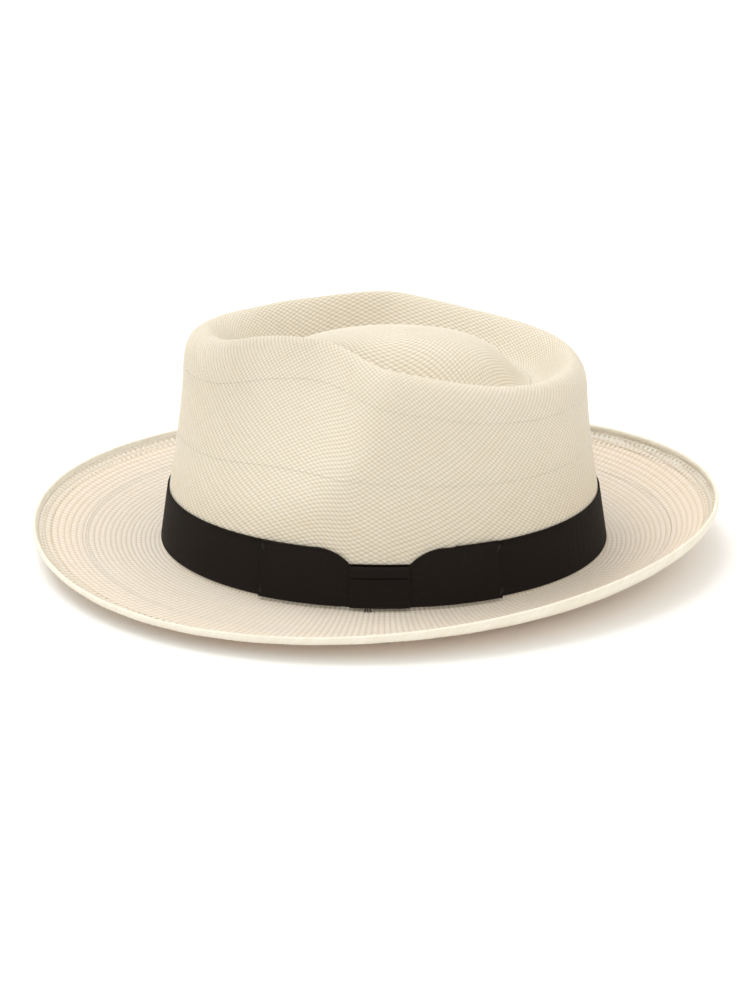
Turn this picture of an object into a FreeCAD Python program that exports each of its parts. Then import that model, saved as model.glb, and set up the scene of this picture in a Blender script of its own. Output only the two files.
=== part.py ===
import FreeCAD, Part
import Sketcher
import math
import os
from FreeCAD import Vector

# Panama hat, teardrop fedora shape, as a parametric FreeCAD document.
#
# Frame: millimetres, +Z up, the floor at z = 0, the middle of the head opening at the origin,
# the wearer's face towards -Y and the ribbon bow on the wearer's left at +X.

doc = FreeCAD.newDocument("panama_hat")

# ---------------------------------------------------------------- driving dimensions

SHEET_ROWS = [
    ("wall_thickness", 1.1, "woven straw"),
    ("hem_thickness", 2.0, "straw folded over and pressed at the brim edge"),
    ("head_half_length", 101.4, "outside of the crown at the brim, front to back"),
    ("head_half_width", 84.2, "outside of the crown at the brim, side to side"),
    ("side_lean", 0.155, "how far the side leans in for each millimetre up"),
    ("straight_height", 36.0, "the side is a plain leaning oval up to here"),
    ("shoulder_front", 89.3, "reach of the crown just under its front rim"),
    ("shoulder_back", 91.0, "reach of the crown just under its back rim"),
    ("shoulder_half_width", 67.0, "half width just under the rim"),
    ("rim_middle_height", 94.0, "crown rim, half way between front and back heights"),
    ("rim_height_swing", 9.8, "half the difference between front and back heights"),
    ("rim_turn_place", 20.0, "where along Y the rim is half way down"),
    ("rim_turn_length", 45.0, "how gently it comes down"),
    ("nose_drop", 7.0, "how much the rim drops again at the very front"),
    ("pinch_share", 0.49, "share of the half width pressed in by the front pinch"),
    ("brim_side_width", 49.5, "brim width in plan at the side"),
    ("brim_front_extra", 15.5, "how fast the brim widens from the side towards the front"),
    ("brim_end_extra", 3.5, "how much wider the brim is at both ends"),
    ("brim_front_fade", 11.7, "evens out the widening at the very ends"),
    ("brim_side_rise", 11.6, "height of the brim edge at the side"),
    ("brim_back_lift", 8.5, "how much more the brim rises towards the back"),
    ("brim_end_lift", 6.0, "how much the brim rises at both ends"),
    ("brim_end_fade", 2.8, "evens out the lift at the very ends"),
    ("brim_side_lean", 1.3, "the bow side of the brim hangs this much lower"),
    ("lip_front", 2.4, "turned-up edge of the brim at the front and sides"),
    ("lip_back_extra", 3.2, "how much taller the turned-up edge is behind"),
    ("thread_size", 0.6, "sewing thread"),
    ("band_height", 24.4, "grosgrain hat ribbon"),
    ("band_thickness", 0.5, "grosgrain hat ribbon"),
    ("band_gap", 0.35, "ribbon clear of the straw"),
    ("band_lift", 1.6, "bottom of the ribbon above the brim"),
    ("waist_height", 18.2, "the ribbon is gathered to this height under the knot"),
    ("waist_half_width", 13.2, "the gather is flat this far from the knot's middle"),
    ("gather_half_width", 28.0, "the gather starts this far from the knot's middle"),
    ("bow_half_length", 53.0, "middle of the knot to a wing's end"),
    ("bow_thickness", 1.0, "two layers of ribbon in each bow wing"),
    ("layer_gap", 0.15, "between one ribbon layer and the next"),
    ("knot_half_width", 13.0, "knot, along the band"),
    ("knot_height", 17.4, "knot, up the crown"),
    ("knot_thickness", 1.1, "knot, standing off the bow"),
    ("sweatband_height", 32.0, "inner band that touches the head"),
    ("sweatband_thickness", 1.0, "inner band that touches the head"),
    ("sweatband_gap", 0.35, "inner band clear of the straw"),
    ("sweatband_lift", 2.6, "bottom of the inner band above the brim"),
    ("sweatband_stitch_inset", 1.4, "stitching above the inner band's lower edge"),
    ("reed_size", 2.0, "round reed under the sweatband's lower edge"),
    ("reed_lift", 0.9, "middle of the reed above the brim"),
    ("inner_bow_width", 16.0, "small ribbon bow on the sweatband's seam"),
    ("inner_bow_height", 8.0, "small ribbon bow on the sweatband's seam"),
    ("inner_bow_waist", 3.0, "height of its knot"),
    ("inner_bow_thickness", 1.2, "small ribbon bow on the sweatband's seam"),
    ("tack_length", 3.0, "thread tack at a bow wing's end"),
    ("tack_size", 0.7, "thread tack at a bow wing's end"),
    ("tuft_length", 3.4, "knotted thread ends under the knot"),
]

sheet = doc.addObject("Spreadsheet::Sheet", "sizes")
sheet.Label = "sizes"
for row, (alias, value, note) in enumerate(SHEET_ROWS, start=1):
    sheet.set("A%d" % row, alias)
    sheet.set("B%d" % row, str(value))
    sheet.set("C%d" % row, note)
    sheet.setAlias("B%d" % row, alias)
doc.recompute()


def size(alias):
    """A driving dimension, read back from the sheet."""
    return float(sheet.get(alias))


# ---------------------------------------------------------------- the woven straw body
# The body is one sheet of straw, so its skin is one smooth surface pulled over rings of
# control points: from the top of the crown, down into the teardrop gutter, up over the rim,
# down the side and out over the brim, round its edge and back inside.

COLUMNS = 96                      # control points in each ring
ISLAND_HEIGHT = 97.6              # raised middle of the teardrop
PINCH_FOOT = 38.0                 # lowest point of the front facet's lower edge
PINCH_TOP = 98.0                  # where that edge meets the rim
ANGLES = [2 * math.pi * column / COLUMNS for column in range(COLUMNS)]


def ramp(start, end, value):
    """0 at start, 1 at end, with level ends; start may be the larger of the two."""
    share = min(max((value - start) / (end - start), 0.0), 1.0)
    return share * share * (3 - 2 * share)


def rim_height(y):
    """The crown's rim is high at the front, low at the back, and rounds off at the nose."""
    turn = math.tanh((y - size("rim_turn_place")) / size("rim_turn_length"))
    return size("rim_middle_height") - size("rim_height_swing") * turn - size("nose_drop") * ramp(-36, -84, y)


def pinch(y, z, side):
    """Share of the half width pressed in at the front: a facet a thumb and fingers leave.

    side is 1 on the bow side, where the facet ends more sharply, and -1 on the other. The facet
    deepens evenly from its curved lower edge up to the rim.
    """
    bow_side = ramp(-0.35, 0.35, side)
    start = 12 - 7 * bow_side
    end = -45 + 18 * bow_side
    along = ramp(start, end, y) * (1 - 0.70 * ramp(-52, -88, y))
    forward = min(max((2 - y) / 54, 0.0), 1.0)
    lower_edge = PINCH_FOOT + (PINCH_TOP - PINCH_FOOT) * (1 - forward ** 0.32)
    depth = (z - lower_edge) / max(PINCH_TOP - lower_edge, 4.0)
    depth = min(max(depth, 0.0), 1.0)
    return (size("pinch_share") - 0.05 * (1 - bow_side)) * depth * along


def oval_point(angle, front, back, half_width, fullness):
    """A point of an oval ring that is fuller behind than an ellipse."""
    behind = max(math.sin(angle), 0.0)
    x = half_width * math.cos(angle) * (1 + fullness * behind ** 2)
    y = (back - front) / 2 + (back + front) / 2 * math.sin(angle)
    return x, y


def top_ring(front, back, half_width, fullness, narrowing, height):
    """A ring of the crown's top; narrowing draws its front in to the teardrop's point."""
    ring = []
    for angle in ANGLES:
        x, y = oval_point(angle, front, back, half_width, fullness)
        x *= 1 - narrowing * ramp(5, -40, y)
        ring.append(Vector(x, y, height(math.sin(angle), y)))
    return ring


def rim_ring(front, back, half_width, fullness, height):
    """A ring of the crown's rim, drawn in by the front pinch."""
    ring = []
    for angle in ANGLES:
        x, y = oval_point(angle, front, back, half_width, fullness)
        x *= 1 - pinch(y, 100, math.cos(angle))
        ring.append(Vector(x, y, height(math.sin(angle), y)))
    return ring


def gutter_height(lengthwise):
    return 77.5 - 6.0 * lengthwise


def crown_top_rings():
    """From the middle of the teardrop out to the rim."""
    return [
        top_ring(-6, 8, 1, 0, 0, lambda s, y: ISLAND_HEIGHT),
        top_ring(7, 25, 9, 0, 0, lambda s, y: ISLAND_HEIGHT + 0.4),
        top_ring(28, 43, 18, 0.10, 0, lambda s, y: 95.6 - s),
        top_ring(44, 55, 27, 0.15, 0.45, lambda s, y: 89.0 - 3 * s - min(s, 0) ** 2),
        top_ring(61, 66, 37, 0.24, 0.60, lambda s, y: gutter_height(s)),
        top_ring(70, 76, 47, 0.24, 0.50, lambda s, y: 0.4 * gutter_height(s) + 0.6 * rim_height(y)),
        rim_ring(79, 84, 56.5, 0.28, lambda s, y: rim_height(y) + 3.0),
        rim_ring(86.5, 89, 62.5, 0.26, lambda s, y: rim_height(y) + 0.2 - 2.5 * max(s, 0) ** 4),
    ]


def straight_side(height):
    """Half length and half width of the leaning oval at a height below straight_height."""
    lean = size("side_lean") * height
    return size("head_half_length") - lean, size("head_half_width") - lean


def upper_side_ring(share):
    """A ring of the side between the straight part (share 0) and the shoulder (share 1)."""
    low_length, low_width = straight_side(size("straight_height"))
    arc = 1 - (1 - share) ** 1.5
    front = low_length + (size("shoulder_front") - low_length) * arc
    back = low_length + (size("shoulder_back") - low_length) * arc
    half_width = low_width + (size("shoulder_half_width") - low_width) * share
    ring = []
    for angle in ANGLES:
        x, y = oval_point(angle, front, back, half_width, 0.20 * share)
        top = 0.92 * rim_height(size("head_half_length") * math.sin(angle))
        z = size("straight_height") + (top - size("straight_height")) * share
        ring.append(Vector(x * (1 - pinch(y, z, math.cos(angle))), y, z))
    return ring


def straight_side_ring(height):
    length, width = straight_side(height)
    return [Vector(width * math.cos(a), length * math.sin(a), height) for a in ANGLES]


def brim_directions(angle):
    """The outward direction in plan at the head oval."""
    across = math.cos(angle) / size("head_half_width")
    along = math.sin(angle) / size("head_half_length")
    scale = math.hypot(across, along)
    return across / scale, along / scale


def brim_ring(share, rise_share, lip_share):
    """A ring of the brim: share of its width, of its gentle rise and of its turned-up lip."""
    ring = []
    for angle in ANGLES:
        across, along = brim_directions(angle)
        width = (size("brim_side_width") - size("brim_front_extra") * along
                 + size("brim_end_extra") * along ** 2 + size("brim_front_fade") * along ** 3)
        edge = (size("brim_side_rise") + size("brim_back_lift") * along + size("brim_end_lift") * along ** 2
                - size("brim_end_fade") * along ** 3 - size("brim_side_lean") * across)
        lip = size("lip_front") + size("lip_back_extra") * ramp(-0.2, 0.65, along)
        x = size("head_half_width") * math.cos(angle) + width * share * across
        y = size("head_half_length") * math.sin(angle) + width * share * along
        ring.append(Vector(x, y, (edge - lip) * rise_share + lip * lip_share))
    return ring


# share of the brim's width, share of the gentle rise, share of the lip
BRIM_PROFILE = [
    (0.006, 0.00, 0.00),
    (0.035, 0.00, 0.00),
    (0.12, 0.00, 0.00),
    (0.26, 0.05, 0.00),
    (0.44, 0.20, 0.00),
    (0.62, 0.42, 0.00),
    (0.78, 0.68, 0.00),
    (0.90, 0.90, 0.02),
    (0.97, 1.00, 0.20),
    (1.00, 1.00, 0.60),
    (1.00, 1.00, 1.00),
]
HEM_RINGS = 4                     # the outermost rings have the hem's thickness


def outer_rings():
    """The whole upper and outer side of the straw, resting on the wall's own thickness."""
    rings = crown_top_rings()
    rings += [upper_side_ring(share) for share in (1.0, 0.84, 0.67, 0.50, 0.33, 0.16, 0.0)]
    rings += [straight_side_ring(height) for height in (27.0, 18.0, 9.0, 2.0)]
    rings += [brim_ring(*row) for row in BRIM_PROFILE]
    lift = Vector(0, 0, size("wall_thickness"))
    return [[point + lift for point in ring] for ring in rings]


def skin_normal(rings, row, column):
    """Outward normal of a net of control points."""
    ring = rings[row]
    around = ring[(column + 1) % COLUMNS] - ring[column - 1]
    along = rings[min(row + 1, len(rings) - 1)][column] - rings[max(row - 1, 0)][column]
    return along.cross(around).normalize()


def straw_rings():
    """Control rings of the closed sheet: outside, round the brim's edge, then inside."""
    outside = outer_rings()
    inside = []
    for row, ring in enumerate(outside):
        from_edge = len(outside) - 1 - row
        depth = size("hem_thickness") if from_edge < HEM_RINGS else size("wall_thickness")
        normals = [skin_normal(outside, row, column) for column in range(COLUMNS)]
        inside.append([point - normal * depth for point, normal in zip(ring, normals)])
    inside[0] = [point - Vector(0, 0, size("wall_thickness")) for point in outside[0]]
    roundness = size("hem_thickness") / 2
    bead_out = []
    bead_in = []
    for column in range(COLUMNS):
        outward = (outside[-1][column] - outside[-2][column]).normalize() * roundness
        bead_out.append(outside[-1][column] + outward)
        bead_in.append(inside[-1][column] + outward)
    return outside + [bead_out, bead_in] + inside[::-1]


def ring_surface(rings, degree):
    """Surface over rings of control points: cubic and closed round each ring, of a degree across them."""
    rows = len(rings)
    columns = len(rings[0])
    row_knots = list(range(rows - degree + 1))
    row_mults = [degree + 1] + [1] * (rows - degree - 1) + [degree + 1]
    surface = Part.BSplineSurface()
    surface.buildFromPolesMultsKnots(rings, row_mults, [1] * (columns + 1), row_knots,
                                     list(range(columns + 1)), False, True, degree, 3)
    return surface


def solid_from_faces(faces):
    """One closed solid with its faces turned outward."""
    shell = Part.Shell(faces)
    if len(faces) > 1:
        shell.sewShape()
    solid = Part.Solid(shell)
    if solid.Volume < 0:
        solid = solid.reversed()
    return solid


def add_shape(name, shape):
    """A sub-part whose shape the code above makes."""
    feature = doc.addObject("Part::Feature", name)
    feature.Label = name
    feature.Shape = shape
    feature.Placement = FreeCAD.Placement()
    return feature


straw_surface = ring_surface(straw_rings(), 3)
straw_skin = straw_surface.toShape()
end_rims = [edge for edge in straw_skin.Edges if edge.BoundBox.DiagonalLength < 20]
end_caps = [Part.Face(Part.Wire([edge])) for edge in end_rims]
add_shape("straw_body", solid_from_faces([straw_skin] + end_caps))


# ---------------------------------------------------------------- hem stitching on the brim
# The brim's edge is folded over and sewn down: two rounds of thread lie on the top side.

BRIM_EDGE_ROW = len(outer_rings()) - 2      # surface parameter where the brim's edge is
HEM_POINTS = 160
FIRST_HEM_ROW = 3.5                         # mm from the brim's edge, along the straw
SECOND_HEM_ROW = 7.5
THREAD_CLEARANCE = 0.05
THREAD_CORNERS = ((1, 1), (-1, 1), (-1, -1), (1, -1))     # aside and up, in halves of its size
MARCH_STEP = 0.02


def inward_from_edge(distance, column):
    """Surface parameter of the point at a distance from the brim's edge, over the straw."""
    row = float(BRIM_EDGE_ROW)
    here = straw_surface.value(row, column)
    walked = 0.0
    while walked < distance:
        row -= MARCH_STEP
        there = straw_surface.value(row, column)
        walked += (there - here).Length
        here = there
    return row


def hem_thread(name, distance):
    """A closed round of thread lying on the brim, pressed square by its stitches."""
    half = size("thread_size") / 2
    path = []
    ups = []
    for point in range(HEM_POINTS):
        column = COLUMNS * point / HEM_POINTS
        row = inward_from_edge(distance, column)
        up = straw_surface.normal(row, column)
        if up.z < 0:
            up = -up
        path.append(straw_surface.value(row, column) + up * (half + THREAD_CLEARANCE))
        ups.append(up)
    rings = []
    for aside_share, up_share in THREAD_CORNERS:
        ring = []
        for point, (centre, up) in enumerate(zip(path, ups)):
            ahead = (path[(point + 1) % HEM_POINTS] - path[point - 1]).normalize()
            aside = ahead.cross(up).normalize()
            ring.append(centre + (aside * aside_share + up * up_share) * half)
        rings.append(ring)
    sides = [ring_surface(pair, 1).toShape() for pair in zip(rings, rings[1:] + rings[:1])]
    add_shape(name, solid_from_faces(sides))


hem_thread("hem_thread_outer", FIRST_HEM_ROW)
hem_thread("hem_thread_inner", SECOND_HEM_ROW)


# ---------------------------------------------------------------- bodies that hug the crown
# Everything round the foot of the crown is a slice of the same leaning oval, in or out a little.

BRIM_TOP = "<<sizes>>.wall_thickness"
BAND_FOOT = "<<sizes>>.band_lift"
BAND_TOP = "<<sizes>>.band_lift + <<sizes>>.band_height"
BAND_INSIDE = "<<sizes>>.band_gap"
BAND_OUTSIDE = BAND_INSIDE + " + <<sizes>>.band_thickness"
BOW_INSIDE = BAND_OUTSIDE + " + <<sizes>>.layer_gap"
BOW_OUTSIDE = BOW_INSIDE + " + <<sizes>>.bow_thickness"
KNOT_INSIDE = BOW_OUTSIDE + " + <<sizes>>.layer_gap"
KNOT_OUTSIDE = KNOT_INSIDE + " + <<sizes>>.knot_thickness"
SWEATBAND_FOOT = "<<sizes>>.sweatband_lift"
SWEATBAND_TOP = "<<sizes>>.sweatband_lift + <<sizes>>.sweatband_height"
SWEATBAND_OUTSIDE = "0 - <<sizes>>.wall_thickness - <<sizes>>.sweatband_gap"
SWEATBAND_INSIDE = SWEATBAND_OUTSIDE + " - <<sizes>>.sweatband_thickness"


def origin_plane(body, role):
    return next(feature for feature in body.Origin.OriginFeatures if feature.Role == role)


def new_body(name):
    body = doc.addObject("PartDesign::Body", name)
    body.Label = name
    return body


def new_sketch(body, name, role):
    sketch = body.newObject("Sketcher::SketchObject", name)
    sketch.AttachmentSupport = [(origin_plane(body, role), "")]
    sketch.MapMode = "FlatFace"
    return sketch


def measure(text):
    """The value of an expression of the sheet."""
    return float(sheet.evalExpression(text))


def hold(sketch, constraint, expression):
    """Add a constraint whose value follows an expression of the sheet."""
    index = sketch.addConstraint(constraint)
    sketch.setExpression("Constraints[%d]" % index, expression)


def oval_sketch(body, name, half_length, half_width, height):
    """An upright-facing oval about the origin, its long axis along Y, at a height."""
    sketch = new_sketch(body, name, "XY_Plane")
    sketch.setExpression("AttachmentOffset.Base.z", height)
    length = measure(half_length)
    width = measure(half_width)
    sketch.addGeometry(Part.Ellipse(Vector(0, length, 0), Vector(width, 0, 0), Vector(0, 0, 0)), False)
    sketch.exposeInternalGeometry(0)
    long_axis, short_axis = 1, 2
    sketch.addConstraint(Sketcher.Constraint("Coincident", 0, 3, -1, 1))
    sketch.addConstraint(Sketcher.Constraint("Vertical", long_axis))
    hold(sketch, Sketcher.Constraint("Distance", long_axis, 2 * length), "2 * (%s)" % half_length)
    hold(sketch, Sketcher.Constraint("Distance", short_axis, 2 * width), "2 * (%s)" % half_width)
    return sketch


def leaning_oval(body, name, height, outset):
    """The crown's oval at a height above the brim, moved outward by outset."""
    lean = " - <<sizes>>.side_lean * (%s) + (%s)" % (height, outset)
    return oval_sketch(body, name, "<<sizes>>.head_half_length" + lean, "<<sizes>>.head_half_width" + lean,
                       "%s + (%s)" % (BRIM_TOP, height))


def oval_loft(body, kind, name, foot, top, outset):
    """A solid (AdditiveLoft) or a hollow (SubtractiveLoft) between two leaning ovals."""
    low = leaning_oval(body, name + "_foot", foot, outset)
    high = leaning_oval(body, name + "_top", top, outset)
    doc.recompute()
    loft = body.newObject("PartDesign::" + kind, name)
    loft.Profile = low
    loft.Sections = [high]
    loft.Ruled = True
    doc.recompute()


def oval_sleeve(name, foot, top, inside, outside):
    """A thin sleeve round the crown's oval."""
    body = new_body(name)
    oval_loft(body, "AdditiveLoft", name + "_outside", foot, top, outside)
    oval_loft(body, "SubtractiveLoft", name + "_hollow", foot, top, inside)
    return body


def rounded_run(start, target, radius):
    """The short arc from start to target, centred to the right of its own direction."""
    chord = target - start
    across = Vector(chord.y, -chord.x, 0).normalize()
    reach = math.sqrt(radius ** 2 - (chord.Length / 2) ** 2)
    centre = (start + target) / 2 + across * reach
    middle = centre - across * radius
    return Part.Arc(start, middle, target)


def add_outline(sketch, corners, arcs):
    """Add a closed outline through corners given as expression pairs, run clockwise.

    arcs maps a corner's number to the radius of the outward-rounded run that follows it.
    """
    first = sketch.GeometryCount
    spots = [Vector(measure(x), measure(y), 0) for x, y in corners]
    count = len(corners)
    for number, spot in enumerate(spots):
        target = spots[(number + 1) % count]
        if number in arcs:
            sketch.addGeometry(rounded_run(spot, target, measure(arcs[number])), False)
        else:
            sketch.addGeometry(Part.LineSegment(spot, target), False)
    # a clockwise arc is stored the other way round, so each run's own first end is looked up
    first_end = [2 if number in arcs else 1 for number in range(count)]
    for number, (x, y) in enumerate(corners):
        before = (number - 1) % count
        edge = first + number
        here = first_end[number]
        last_end = 3 - first_end[before]
        sketch.addConstraint(Sketcher.Constraint("Coincident", first + before, last_end, edge, here))
        hold(sketch, Sketcher.Constraint("DistanceX", -1, 1, edge, here, spots[number].x), x)
        hold(sketch, Sketcher.Constraint("DistanceY", -1, 1, edge, here, spots[number].y), y)
    for number, radius in arcs.items():
        hold(sketch, Sketcher.Constraint("Radius", first + number, measure(radius)), radius)


def outline_sketch(body, name, role, corners, arcs):
    """A new sketch holding one outline."""
    sketch = new_sketch(body, name, role)
    add_outline(sketch, corners, arcs)
    return sketch


def cut_away(body, sketch, backwards):
    """Pocket everything inside a sketch on one side of its plane, and make sure it did cut."""
    doc.recompute()
    before = body.Shape.Volume
    pocket = body.newObject("PartDesign::Pocket", sketch.Name + "_cut")
    pocket.Profile = sketch
    pocket.Type = "ThroughAll"
    pocket.Reversed = backwards
    doc.recompute()
    if not body.Shape.Volume < before - 1:
        raise RuntimeError(sketch.Name + " cuts nothing")


# ---------------------------------------------------------------- hat ribbon

SKETCH_MARGIN = " + 2"            # outlines run this far past what they cut
GATHER_DROP = "(<<sizes>>.band_height - <<sizes>>.waist_height)"
GATHER_RUN = "(<<sizes>>.gather_half_width - <<sizes>>.waist_half_width)"
GATHER_RADIUS = "(%s ^ 2 + %s ^ 2) / (2 * %s)" % (GATHER_RUN, GATHER_DROP, GATHER_DROP)
RIBBON_FOOT_Z = BRIM_TOP + " + " + BAND_FOOT
RIBBON_TOP_Z = BRIM_TOP + " + " + BAND_TOP
WAIST_Z = RIBBON_FOOT_Z + " + <<sizes>>.waist_height"


def gather_corners():
    """The dip in the ribbon's upper edge where the knot gathers it, from +Y to -Y."""
    return [
        ("<<sizes>>.gather_half_width", RIBBON_TOP_Z),
        ("<<sizes>>.waist_half_width", WAIST_Z),
        ("0 - <<sizes>>.waist_half_width", WAIST_Z),
        ("0 - <<sizes>>.gather_half_width", RIBBON_TOP_Z),
    ]


def make_hat_band():
    """The grosgrain ribbon round the crown, gathered under the knot on the wearer's left."""
    body = oval_sleeve("hat_band", BAND_FOOT, BAND_TOP, BAND_INSIDE, BAND_OUTSIDE)
    above = RIBBON_TOP_Z + SKETCH_MARGIN
    corners = gather_corners()
    corners.append(("0 - <<sizes>>.gather_half_width", above))
    corners.append(("<<sizes>>.gather_half_width", above))
    dip = outline_sketch(body, "ribbon_gather", "YZ_Plane", corners, {0: GATHER_RADIUS, 2: GATHER_RADIUS})
    cut_away(body, dip, True)


make_hat_band()


# ---------------------------------------------------------------- bow, knot and their threads

BOW_END = "<<sizes>>.bow_half_length"
KNOT_END = "<<sizes>>.knot_half_width"
KNOT_TOP_Z = RIBBON_FOOT_Z + " + <<sizes>>.knot_height"
BELOW_RIBBON_Z = RIBBON_FOOT_Z + " - 2"
FRAME_REACH = "130"               # further out than any part of the ribbon
TACK_INSET = 1.5                  # from the wing's edges
TUFT_ANGLES = (-28, 4, 34)        # degrees each end fans out over the brim
TUFT_START_Y = -5.0
TUFT_STEP_Y = 1.2


def framed_cut(body, name, corners, arcs):
    """Keep only what lies inside the corners on the +X side, and nothing on the -X side."""
    low = "0 - " + FRAME_REACH
    frame = [(low, low), (low, FRAME_REACH), (FRAME_REACH, FRAME_REACH), (FRAME_REACH, low)]
    # one sketch with two outlines: what lies between the corners and the frame is cut
    near_side = new_sketch(body, name + "_outline", "YZ_Plane")
    add_outline(near_side, corners, arcs)
    add_outline(near_side, frame, {})
    cut_away(body, near_side, True)
    far_side = outline_sketch(body, name + "_far_side", "YZ_Plane", frame, {})
    cut_away(body, far_side, False)


def make_bow():
    """Two flat wings folded from ribbon, tapered to the knot, in one piece under it."""
    body = oval_sleeve("bow_loops", BAND_FOOT, BAND_TOP, BOW_INSIDE, BOW_OUTSIDE)
    corners = [("0 - " + BOW_END, BELOW_RIBBON_Z), ("0 - " + BOW_END, RIBBON_TOP_Z)]
    corners += gather_corners()[::-1]
    corners += [(BOW_END, RIBBON_TOP_Z), (BOW_END, BELOW_RIBBON_Z)]
    framed_cut(body, "bow", corners, {2: GATHER_RADIUS, 4: GATHER_RADIUS})


def make_knot():
    """The short strip of ribbon wrapped round the middle of the bow."""
    body = oval_sleeve("bow_knot", BAND_FOOT, BAND_TOP, KNOT_INSIDE, KNOT_OUTSIDE)
    corners = [
        ("0 - " + KNOT_END, BELOW_RIBBON_Z),
        ("0 - " + KNOT_END, KNOT_TOP_Z),
        (KNOT_END, KNOT_TOP_Z),
        (KNOT_END, BELOW_RIBBON_Z),
    ]
    framed_cut(body, "knot", corners, {})


def on_the_crown(y, height, outset):
    """The point of the leaning oval on the bow side, at y along it and a height above the brim."""
    length, width = straight_side(height)
    length += outset
    width += outset
    x = width * math.sqrt(1 - (y / length) ** 2)
    return Vector(x, y, size("wall_thickness") + height)


def make_tacks():
    """Four short thread tacks that hold the bow's wings to the band, two at each end."""
    radius = size("tack_size") / 2
    outset = measure(BOW_OUTSIDE) + radius + THREAD_CLEARANCE
    lean = math.degrees(math.atan(size("side_lean")))
    tack_place = size("bow_half_length") - TACK_INSET
    low_tack = size("band_lift") + TACK_INSET
    high_tack = size("band_lift") + size("band_height") - TACK_INSET - size("tack_length")
    tacks = []
    for y in (-tack_place, tack_place):
        for height in (low_tack, high_tack):
            tack = doc.addObject("Part::Cylinder", "tack_%d" % len(tacks))
            tack.setExpression("Radius", "<<sizes>>.tack_size / 2")
            tack.setExpression("Height", "<<sizes>>.tack_length")
            turn = FreeCAD.Rotation(Vector(0, 1, 0), -lean)
            tack.Placement = FreeCAD.Placement(on_the_crown(y, height, outset), turn)
            tacks.append(tack)
    group = doc.addObject("Part::Compound", "bow_tacks")
    group.Label = "bow_tacks"
    group.Links = tacks


def make_tuft():
    """The knotted thread ends that show just under the knot, lying out over the brim."""
    outset = measure(KNOT_OUTSIDE) + size("tuft_length") / 2
    ends = []
    for spread in TUFT_ANGLES:
        end = doc.addObject("Part::Cone", "tuft_%d" % len(ends))
        end.setExpression("Radius1", "<<sizes>>.thread_size / 2")
        end.setExpression("Radius2", "<<sizes>>.thread_size / 4")
        end.setExpression("Height", "<<sizes>>.tuft_length")
        foot = on_the_crown(TUFT_START_Y + TUFT_STEP_Y * len(ends), size("thread_size"), outset)
        turn = FreeCAD.Rotation(spread, 90, 0)
        end.Placement = FreeCAD.Placement(foot, turn)
        ends.append(end)
    group = doc.addObject("Part::Compound", "knot_thread_ends")
    group.Label = "knot_thread_ends"
    group.Links = ends


make_bow()
make_knot()
make_tacks()
make_tuft()


# ---------------------------------------------------------------- inside the crown

REED_HEIGHT = "<<sizes>>.reed_lift"
REED_OUTSET = SWEATBAND_OUTSIDE + " - <<sizes>>.sweatband_thickness / 2"
STITCH_FOOT = SWEATBAND_FOOT + " + <<sizes>>.sweatband_stitch_inset"
STITCH_TOP = STITCH_FOOT + " + <<sizes>>.thread_size"
STITCH_OUTSIDE = SWEATBAND_INSIDE + " - 0.05"
STITCH_INSIDE = STITCH_OUTSIDE + " - <<sizes>>.thread_size / 2"


def ring_pipe(name, height, outset, thickness):
    """A thin round ring along the leaning oval."""
    body = new_body(name)
    path = leaning_oval(body, name + "_path", height, outset)
    profile = new_sketch(body, name + "_profile", "XZ_Plane")
    centre_x = "<<sizes>>.head_half_width - <<sizes>>.side_lean * (%s) + (%s)" % (height, outset)
    centre_z = "%s + (%s)" % (BRIM_TOP, height)
    radius = "(%s) / 2" % thickness
    centre = Vector(measure(centre_x), measure(centre_z), 0)
    profile.addGeometry(Part.Circle(centre, Vector(0, 0, 1), measure(radius)), False)
    hold(profile, Sketcher.Constraint("DistanceX", -1, 1, 0, 3, centre.x), centre_x)
    hold(profile, Sketcher.Constraint("DistanceY", -1, 1, 0, 3, centre.y), centre_z)
    hold(profile, Sketcher.Constraint("Radius", 0, measure(radius)), radius)
    doc.recompute()
    pipe = body.newObject("PartDesign::AdditivePipe", name + "_pipe")
    pipe.Profile = profile
    pipe.Spine = (path, ["Edge1"])
    doc.recompute()


def make_inner_bow():
    """The tiny ribbon bow over the seam at the back of the sweatband, where its ends meet."""
    body = new_body("sweatband_bow")
    middle = BRIM_TOP + " + " + SWEATBAND_FOOT + " + <<sizes>>.inner_bow_height"
    half = "<<sizes>>.inner_bow_width / 2"
    rise = "<<sizes>>.inner_bow_height / 2"
    waist = "<<sizes>>.inner_bow_waist / 2"
    corners = [
        ("0 - " + half, middle + " - " + rise),
        ("0 - " + half, middle + " + " + rise),
        ("0 - " + waist, middle + " + " + waist),
        (waist, middle + " + " + waist),
        (half, middle + " + " + rise),
        (half, middle + " - " + rise),
        (waist, middle + " - " + waist),
        ("0 - " + waist, middle + " - " + waist),
    ]
    outline = outline_sketch(body, "inner_bow_outline", "XZ_Plane", corners, {})
    # the sketch faces -Y, so a minus offset puts it behind the head opening's middle
    highest = "(%s + <<sizes>>.inner_bow_height * 1.5)" % SWEATBAND_FOOT
    back = ("<<sizes>>.head_half_length - <<sizes>>.side_lean * %s + %s - <<sizes>>.layer_gap - 0.5"
            % (highest, SWEATBAND_INSIDE))
    outline.setExpression("AttachmentOffset.Base.z", "0 - (%s)" % back)
    doc.recompute()
    pad = body.newObject("PartDesign::Pad", "inner_bow_pad")
    pad.Profile = outline
    pad.setExpression("Length", "<<sizes>>.inner_bow_thickness")
    doc.recompute()


oval_sleeve("sweatband", SWEATBAND_FOOT, SWEATBAND_TOP, SWEATBAND_INSIDE, SWEATBAND_OUTSIDE)
ring_pipe("sweatband_reed", REED_HEIGHT, REED_OUTSET, "<<sizes>>.reed_size")
oval_sleeve("sweatband_thread", STITCH_FOOT, STITCH_TOP, STITCH_INSIDE, STITCH_OUTSIDE)
make_inner_bow()


# ---------------------------------------------------------------- check and write

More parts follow.
